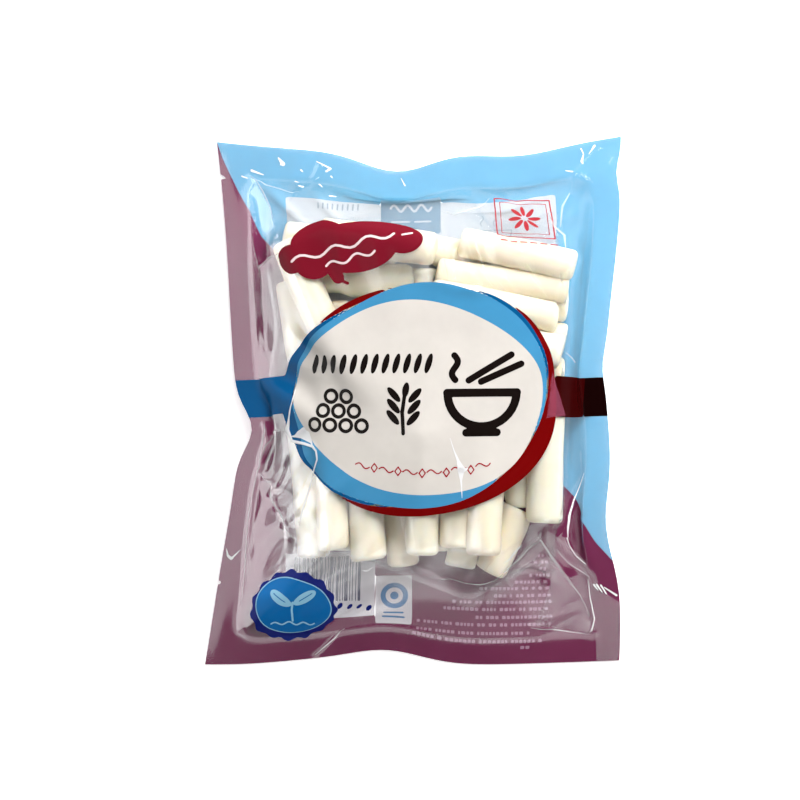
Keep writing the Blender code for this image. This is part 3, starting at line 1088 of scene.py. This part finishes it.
# Painted highlights: white lines and glints painted on the film along sharp bends and small seal wrinkles,
# where it catches the light: points, each with the line's width there
PAINTED_HIGHLIGHT_LINES = [
    [(-62.1, 6.3, 0.3), (-62.9, 0.2, 0.4), (-65.1, -6.6, 0.9), (-66.6, -11.6, 2.3), (-64.0, -16.5, 1.3),
     (-56.2, -17.6, 1.1), (-51.4, -18.7, 1.0), (-49.8, -20.5, 0.8), (-49.3, -24.3, 0.8), (-51.0, -28.7, 0.8),
     (-52.7, -34.4, 1.0), (-54.4, -41.1, 1.6), (-54.8, -47.4, 1.1), (-55.5, -53.7, 0.2)],
    [(-63.1, -14.6, 0.5), (-60.3, -13.4, 2.6), (-57.3, -11.4, 2.2)],
    [(-64.0, -14.4, 0.5), (-58.6, -14.2, 2.0), (-52.4, -17.2, 0.4)],
    [(-58.9, -12.9, 1.6), (-57.1, -13.1, 1.6)],
    [(-57.3, -11.2, 0.8), (-55.4, -13.6, 3.4), (-53.4, -15.7, 1.4), (-51.4, -18.7, 0.4)],
    [(11.8, -14.5, 0.2), (13.7, -20.0, 0.5), (15.6, -24.3, 1.2), (16.9, -27.9, 3.4)],
    [(20.0, -27.7, 0.3), (16.9, -28.6, 3.0), (17.0, -32.7, 0.9), (17.3, -36.3, 0.5), (17.5, -40.1, 0.2)],
    [(-25.7, -72.2, 0.3), (-23.2, -72.9, 0.8), (-20.8, -70.9, 0.3)],
    [(79.0, -33.2, 0.2), (74.8, -39.5, 0.5), (70.4, -44.9, 0.8), (67.6, -51.4, 1.6), (66.8, -56.3, 0.9),
     (66.5, -60.5, 0.3)],
    [(66.2, -60.7, 0.5), (68.0, -64.5, 0.3), (71.4, -69.3, 0.3), (77.4, -74.2, 0.2)],
    [(79.5, -80.5, 0.2), (80.1, -91.3, 0.4), (82.5, -100.8, 0.6), (81.3, -106.0, 0.7)],
    [(52.9, -102.0, 0.2), (64.4, -104.7, 0.5), (70.9, -105.9, 0.4), (78.7, -107.8, 0.2)],
    [(44.9, -62.1, 0.3), (42.3, -64.9, 1.0), (40.1, -68.1, 0.8), (37.4, -70.2, 0.3)],
    [(20.8, -79.3, 0.1), (26.9, -79.9, 0.3), (33.7, -78.5, 0.1)],
    [(7.6, -77.9, 0.1), (10.5, -77.4, 0.3), (13.7, -77.2, 0.1)],
    [(83.5, -85.2, 0.9), (85.1, -87.9, 0.4)],
    [(84.9, -85.3, 1.0), (87.0, -89.0, 0.5)],
    [(86.8, -85.7, 0.9), (88.9, -89.8, 0.6)],
    [(88.3, -86.8, 0.6), (93.6, -90.8, 1.0)],
    [(-32.4, -105.9, 0.2), (-36.6, -112.1, 0.5), (-40.7, -115.7, 0.4), (-44.7, -119.3, 0.2)],
    [(-93.6, -67.2, 0.4), (-92.2, -70.4, 1.2), (-90.3, -71.6, 1.4), (-88.9, -70.0, 0.8), (-86.8, -67.7, 0.3)],
    [(-66.4, 116.0, 0.8), (-64.6, 113.5, 2.2), (-65.6, 113.0, 0.8)],
    [(-79.6, 109.0, 1.3), (-74.3, 107.5, 0.5)],
    [(-84.6, 105.9, 0.7), (-81.9, 105.2, 0.4)],
    [(-48.5, 115.9, 0.4), (-42.0, 113.5, 1.0), (-44.1, 111.8, 0.9)],
    [(-59.0, 105.1, 0.9), (-57.4, 104.6, 0.5)],
    [(-57.1, 101.5, 0.5), (-54.9, 100.6, 1.2)],
    [(-47.5, 104.4, 0.8), (-45.7, 102.0, 0.4)],
    [(-41.1, 94.7, 0.8), (-38.2, 94.6, 0.5)],
    [(-56.1, 111.1, 0.9), (-55.4, 110.5, 0.6)],
    [(-41.8, 109.8, 0.8), (-41.2, 109.3, 0.5)],
    [(-8.7, 117.5, 0.2), (-6.8, 113.5, 0.7)],
    [(76.1, 118.5, 0.6), (77.5, 115.7, 0.5), (77.1, 112.5, 1.3), (77.9, 111.0, 0.5)],
    [(82.4, 118.5, 1.3), (80.1, 115.2, 0.3)],
    [(69.9, 109.4, 0.3), (73.4, 108.2, 0.7)],
]
# Painted sheen: softer pale lines painted along gentler bends and the inner bag's edge, only a little paler
# than the film, given in the same way
PAINTED_SHEEN_LINES = [
    [(-87.6, -9.3, 0.4), (-88.0, -15.8, 1.0), (-85.7, -22.2, 0.7), (-83.6, -28.6, 0.9), (-84.2, -35.2, 0.5),
     (-84.6, -41.7, 0.4)],
    [(-84.6, -41.7, 0.4), (-85.1, -51.5, 0.8), (-84.1, -61.2, 0.5), (-83.0, -72.2, 0.9), (-82.7, -76.4, 0.6),
     (-81.6, -94.0, 0.3)],
    [(-66.6, -11.6, 0.3), (-76.0, -12.6, 0.5), (-83.0, -14.9, 0.7), (-85.2, -18.9, 0.8), (-84.1, -25.4, 0.3)],
    [(-82.9, -31.2, 0.2), (-74.8, -35.3, 0.6), (-70.1, -45.5, 0.9), (-64.0, -54.1, 0.6), (-57.2, -60.1, 0.3)],
    [(-78.1, 78.1, 0.3), (-75.3, 69.9, 0.6), (-72.7, 62.3, 0.8), (-64.8, 65.6, 0.6), (-60.8, 66.2, 0.4)],
    [(-72.7, 62.3, 0.7), (-73.4, 54.7, 0.4), (-75.3, 45.3, 0.5), (-75.5, 35.7, 0.2)],
    [(-78.6, 105.1, 0.3), (-72.7, 96.6, 0.6), (-68.1, 89.0, 0.5), (-65.3, 82.7, 0.2)],
    [(-80.5, 106.3, 0.3), (-72.2, 100.4, 0.6), (-63.1, 97.5, 0.4), (-55.9, 96.1, 0.2)],
    [(53.0, -60.1, 0.6), (61.4, -70.7, 1.0), (69.1, -80.2, 0.8), (75.3, -89.1, 0.6), (79.8, -99.3, 0.3)],
    [(62.0, -65.6, 0.3), (68.1, -72.2, 0.6), (76.4, -77.9, 0.4), (79.5, -80.5, 0.2)],
    [(53.0, -60.1, 0.3), (48.9, -63.7, 0.9), (45.0, -68.7, 0.7), (37.7, -74.7, 0.3)],
    [(57.1, 87.6, 0.2), (58.0, 80.0, 0.7), (60.8, 75.3, 0.9), (59.7, 68.3, 0.3)],
    [(69.3, 96.1, 0.3), (64.1, 89.9, 0.8), (60.4, 79.9, 0.3)],
    [(62.9, 22.5, 0.4), (71.0, 17.9, 0.7)],
    [(8.6, 89.1, 0.2), (19.0, 87.2, 0.5), (26.0, 91.8, 0.5), (32.9, 97.4, 0.2)],
    [(7.6, -77.9, 0.2), (13.7, -77.2, 0.5), (20.8, -79.3, 0.3), (26.9, -79.9, 0.6), (33.7, -78.5, 0.3),
     (37.6, -75.6, 0.6), (43.8, -69.2, 0.4), (47.9, -62.9, 0.2)],
]
# Painted reflections: pale sheets painted on the film where its tilted facets beside the folds mirror the
# light
PAINTED_REFLECTION_PATCHES = [
    [(56.1, -56.4), (67.9, -64.2), (85.1, -79.8), (86.5, -93.5), (87.2, -105.9), (79.0, -107.2),
     (64.4, -104.0), (55.0, -101.0), (58.5, -90.0), (62.1, -74.8), (64.1, -74.9), (70.0, -78.9),
     (74.0, -78.3), (67.0, -70.8), (61.9, -66.7), (60.8, -73.2), (56.4, -64.9)],
    [(86.0, -87.6), (94.6, -94.1), (94.8, -103.6), (94.8, -112.4), (94.4, -120.6), (84.6, -120.8),
     (83.3, -107.6), (86.6, -105.9), (85.9, -93.5)],
    [(37.8, -77.0), (45.4, -65.1), (53.2, -56.0), (55.5, -65.0), (51.2, -72.0), (44.7, -76.8), (42.4, -82.7)],
]
# Painted reflection on the red, where the film by the label's edge mirrors the light
PAINTED_REFLECTION_ON_RED = [(57.3, 14.5), (60.4, 6.3), (65.4, -5.2), (60.2, -5.4), (55.4, -6.0), (56.6, 3.7)]


def creased(film, creases):
    """The film with a narrow ridge along each crease."""
    u, v = flat_places(film)
    lift = np.zeros(u.shape)
    for points, height, width in creases:
        lift += height * np.exp(-(stroke(points, 0.0).inside(u, v) / width) ** 2)
    return film + normals_of(film) * lift[..., None]


front_film = clear_film_material("pouch_clear_film", shine=1.1, haze=0.03, roughness=0.2, crinkle=0.08)
white = ink("label_face_white_ink", (213, 207, 200), 0.95)
light_blue = ink("label_light_blue_ink", (66, 140, 184))
deep_blue = ink("label_deep_blue_ink", (6, 82, 134))
red = ink("label_red_ink", (110, 3, 4))
maroon = ink("band_maroon_ink", (48, 0, 1))
# Painted shade: the maroon band's outer end over the right seal is printed darker where less light falls
painted_shade_maroon = ink("band_end_painted_shade", (18, 0, 0))
cloud_red = ink("cloud_red_ink", (116, 20, 36))
badge_navy = ink("badge_navy_ink", (18, 32, 118))
badge_blue = ink("badge_blue_ink", (2, 110, 182))
black = ink("black_ink", (22, 16, 14))
badge_pale = ink("badge_pale_blue_ink", (150, 205, 232))
pale = ink("pale_line_ink", (226, 206, 206))
thin_red = ink("thin_red_ink", (158, 44, 52))

label_face = oval((-3.2, 2.7), (57.3, 41.5), -3.7,
                  [(2, 0.0018, -77), (3, 0.0188, -161), (4, 0.0132, 35), (5, 0.0139, 141), (6, 0.0037, 107)])
blue_ring = oval((-3.5, 3.4), (59.4, 48.0), 10.4,
                 [(2, 0.0025, 49), (3, 0.0155, 157), (4, 0.0077, -116), (5, 0.0133, 2), (6, 0.0065, 172)])
deep_ring = oval((-6.2, 4.3), (63.5, 45.8), 9.4, [(2, 0.0187, 114), (3, 0.0212, 106), (4, 0.0234, -100)])
red_ring = oval((-1.1, 1.8), (62.5, 50.1), 3.4,
                [(2, 0.0037, 134), (3, 0.0069, -158), (4, 0.0117, -163), (5, 0.0091, -162)])
left_band = box((-78.0, 3.4), (40.0, 17.2), 0.0, 5.0)
right_band = box((77.5, 2.1), (42.0, 17.8), 0.0, -4.2)
front_layers = [
    (tear_notches, None),
    (label_face, white),
    (blue_ring, light_blue),
    (deep_ring, deep_blue),
    (red_ring, red),
    (left_band, deep_blue),
    # painted shade on the band's outer end
    (right_band & box((103.9, 1.6), (40.0, 40.0), 0.0, -14.0), painted_shade_maroon),
    (right_band, maroon),
    (everywhere, front_film),
]
pouch[0] = creased(pouch[0], CREASES)
printed_film("pouch_front", pouch[0], front_layers)
# Painted highlights and painted sheen: near-white marks laid over the front film where its bends catch the
# light
highlight_ink = ink("film_painted_highlight", PAINTED_LIGHT_WHITE, 0.85)
sheen_ink = ink("film_painted_sheen", PAINTED_LIGHT_WHITE, 0.3)
painted_light_lines = [([tapered(bend)], highlight_ink) for bend in PAINTED_HIGHLIGHT_LINES]
# The softer painted sheen lines, in the same piece as the painted highlights
painted_light_lines += [([tapered(bend)], sheen_ink) for bend in PAINTED_SHEEN_LINES]
fine_print("pouch_painted_highlights", pouch[0], painted_light_lines, 3 * PRINT_LIFT, HIGHLIGHT_LINE_CELL)
# Painted reflections: thin pale sheets over the front film, standing in for its facets mirroring the light
reflection_ink = ink("film_painted_reflection", PAINTED_LIGHT_WHITE, 0.15)
reflection_on_red_ink = ink("film_painted_reflection_on_red", (168, 84, 108), 0.45)
painted_reflections = [
    ([enclosed(points) for points in PAINTED_REFLECTION_PATCHES], reflection_ink),
    ([enclosed(PAINTED_REFLECTION_ON_RED)], reflection_on_red_ink),
]
fine_print("pouch_painted_reflections", pouch[0], painted_reflections, PRINT_LIFT / 2, REFLECTION_PATCH_CELL)

cloud = [
    oval((-55.2, 63.4), (5.8, 6.0)),
    oval((-42.5, 69.0), (12.6, 10.7)),
    oval((-46.2, 61.8), (8.0, 7.2)),
    oval((-28.6, 67.5), (18.2, 10.6), 6.0),
    oval((-8.4, 71.4), (8.3, 6.6)),
    oval((-22.0, 72.8), (20.0, 7.5), 4.0),
    stroke([(-38.0, 58.0), (-36.2, 55.2)], 5.4),
    stroke([(-36.2, 54.4), (-32.2, 52.6)], 1.4),
]
cloud_lines = [
    stroke(wave((-55.0, 62.5), (-12.0, 73.5), 1.4, 3), 1.0),
    stroke(wave((-41.0, 60.0), (-20.0, 66.0), 1.2, 2), 0.9),
    stroke([(-8.5, 73.0), (-4.5, 74.0)], 0.9),
]
badge = oval((-56.2, -92.4), (19.6, 18.4), 0.0, [(15, 0.035, 0.0)])
BADGE_FACE_WAVES = [(2, 0.01, 0.0), (3, 0.03, 70.0)]
badge_face = oval((-56.5, -91.4), (16.9, 14.0), -10.0, BADGE_FACE_WAVES)
badge_rim = oval((-56.5, -91.4), (17.4, 14.5), -10.0, BADGE_FACE_WAVES) - badge_face
badge_figures = [
    stroke([(-56.2, -98.5), (-56.6, -92.5), (-56.2, -88.5)], 0.9),
    oval((-61.8, -87.0), (5.8, 2.5), -32.0) - stroke([(-65.0, -85.0), (-59.5, -88.4)], 0.45),
    oval((-50.8, -86.4), (5.8, 2.5), 34.0) - stroke([(-53.2, -88.0), (-47.6, -84.2)], 0.45),
    stroke(wave((-66.0, -99.8), (-46.5, -99.8), 0.8, 3), 0.8),
]


def grain(u, v, length, width, turn):
    """A rice grain's shape."""
    return oval((u, v), (length / 2, width / 2), turn)


grain_row = [grain(-50.6 + 4.8 * index, 18.0, 9.0, 2.7, 72) for index in range(12)]
stacked_ends = []
for row in range(3):
    for index in range(4 - row):
        place = (-51.0 + 3.7 * row + 7.4 * index, -9.0 + 6.4 * row)
        stacked_ends.append(oval(place, (3.5, 3.4)) - oval(place, (1.95, 1.85)))
ear = [stroke([(-9.4, -12.2), (-9.9, -3.0), (-8.8, 4.0)], 1.7), grain(-8.2, 6.6, 6.6, 3.0, 78)]
for index in range(3):
    ear.append(grain(-14.2 + 0.3 * index, -5.2 + 4.9 * index, 8.2, 3.0, 132))
    ear.append(grain(-4.9 + 0.4 * index, -5.6 + 4.9 * index, 8.2, 3.0, 46))
big_bowl = [
    stroke(arc((26.0, 5.0), (15.4, 14.6), 180, 360, 20), 3.8),
    stroke([(10.4, 5.2), (41.6, 5.2)], 3.6),
    stroke([(19.0, -12.2), (33.0, -12.2)], 3.4),
    stroke([(20.0, 10.6), (38.6, 21.6)], 2.9),
    stroke([(25.5, 10.0), (43.0, 17.6)], 2.9),
    stroke(wave((14.0, 10.8), (13.6, 21.4), 1.4, 1), 2.8),
]
WAVE_STEP = 10.9
WAVE_HEIGHTS = [(-25.8, -1.2), (-27.6, -0.9), (-28.8, -0.3), (-29.0, 0.3), (-28.2, 0.8), (-26.8, 1.2)]
wave_row = []
for index, (height, slope) in enumerate(WAVE_HEIGHTS):
    left = -31.0 + WAVE_STEP * index
    wave_row.append(stroke(wave((left, height), (left + 6.5, height + slope), 0.9, 1), 0.6))
diamonds = []
for index, height in enumerate([-27.2, -28.6, -29.4, -29.2, -28.2]):
    middle = -22.3 + WAVE_STEP * index
    diamonds.append(stroke([(middle - 1.4, height), (middle, height + 1.9), (middle + 1.4, height),
                            (middle, height - 1.9), (middle - 1.4, height)], 0.55))
frame_lines = [
    stroke([(34.9, 96.9), (59.3, 94.1), (56.8, 73.9), (33.2, 75.1), (34.9, 96.9)], 0.6),
    stroke([(37.0, 94.6), (57.2, 92.3), (55.0, 76.2), (35.5, 77.3), (37.0, 94.6)], 0.4),
]
petal_places = arc((46.3, 85.4), (4.2, 4.2), 0, 315, 8)
flower = [grain(*place, 5.6, 1.9, 45 * index) for index, place in enumerate(petal_places)]
frame_dashes = []
for index in range(6):
    left, height = 34.5 + 4.0 * index, 72.2 - 0.35 * index
    frame_dashes.append(stroke([(left, height), (left + 2.4, height - 0.2)], 0.7))
weight_marks = [grain(-35.0 + 4.4 * index, -90.2 - 1.2 * index, 3.6, 2.1, 62) for index in range(4)]

front_marks = [
    (cloud, cloud_red),
    ([badge - badge_face], badge_navy),
    ([badge_face], badge_blue),
    (grain_row, black),
    (stacked_ends, black),
    (ear, black),
    (big_bowl, black),
    (wave_row + diamonds, thin_red),
    (frame_lines + flower, thin_red),
    (frame_dashes, thin_red),
    (weight_marks, badge_navy),
]
fine_print("pouch_front_print", pouch[0], front_marks, PRINT_LIFT)
line_marks = [(cloud_lines, pale), ([badge_rim, *badge_figures], badge_pale)]
fine_print("pouch_front_lines", pouch[0], line_marks, 2 * PRINT_LIFT)


# Floor, light and camera
# A white table in soft light from the upper right. The film also mirrors the room: a window card at the
# left, a strip of ceiling over it, a card in front and a small lamp. The camera looks straight down.

# Each lamp's name, place, aim, size and power, whether it lights the pack and whether the film mirrors it
LAMPS = [
    ("key", (0.2, 0.33, 0.37), (0.02, 0.03, 0), (0.45, 0.45), 4.6, True, False),
    ("fill", (0.3, 0.3, 1.1), (0, 0, 0), (1.2, 1.2), 3.3, True, False),
    ("lamp", (0.35, 0.55, 1.0), (0, 0, 0), (0.12, 0.12), 0.6, True, True),
    ("window", (-1.24, 0.0, 0.52), (0, 0, 0), (2.4, 1.3), 60.0, False, True),
    ("ceiling", (-0.62, 0.0, 1.22), (0, 0, 0), (2.4, 0.66), 13.0, False, True),
    ("front_card", (0.15, -1.0, 0.95), (0, 0, 0), (1.6, 0.9), 12.0, False, True),
]
TABLE_SIZE = 12.0
UNDER_PACK = 0.2
END_WALL_LIGHT = 1.2
ROOM_LIGHT = 0.03
CAMERA_PLACE = (-5.85 * MM, 0.29 * MM, 1.32)

bpy.ops.mesh.primitive_plane_add(size=TABLE_SIZE)
floor = bpy.context.object
floor.name = "floor"
material, shader, place = new_material("white_table")
feed(shader, Base_Color=(0.9, 0.9, 0.9, 1), Roughness=0.6, Emission_Color=(1, 1, 1, 1), Emission_Strength=0.7)
floor.data.materials.append(material)
floor.location.z = -UNDER_PACK * MM
floor.visible_glossy = False

world = bpy.data.worlds.new("studio")
bpy.context.scene.world = world
world.use_nodes = True
sky_light = world.node_tree.nodes["Background"]
direction = Field(world.node_tree.nodes.new("ShaderNodeTexCoord").outputs["Generated"])
to_top, upwards = (
    direction.node("ShaderNodeSeparateXYZ", {"Vector": direction}, output) for output in (1, 2)
)
horizon = (upwards.math("ABSOLUTE") * -6.0 + 1.45).clamped()
end_walls = (to_top.math("ABSOLUTE") * 3.0 - 2.0).clamped()
plug(sky_light.inputs["Color"], horizon + end_walls * END_WALL_LIGHT * (1 - horizon) + ROOM_LIGHT)

for name, place, aim, size, power, lit, mirrored in LAMPS:
    light = bpy.data.lights.new(name, "AREA")
    light.shape = "RECTANGLE"
    light.size, light.size_y = size
    light.energy = power
    lamp = placed(name, light)
    lamp.location = place
    lamp.rotation_mode = "QUATERNION"
    lamp.rotation_quaternion = (Vector(aim) - Vector(place)).to_track_quat("-Z", "Y")
    lamp.visible_camera = False
    lamp.visible_diffuse = lit
    lamp.visible_glossy = mirrored

camera = bpy.data.cameras.new("camera")
camera.lens = 135.0
camera.sensor_width = 36.0
viewer = placed("camera", camera)
viewer.location = CAMERA_PLACE
bpy.context.scene.camera = viewer
bpy.context.scene.view_settings.view_transform = "Standard"
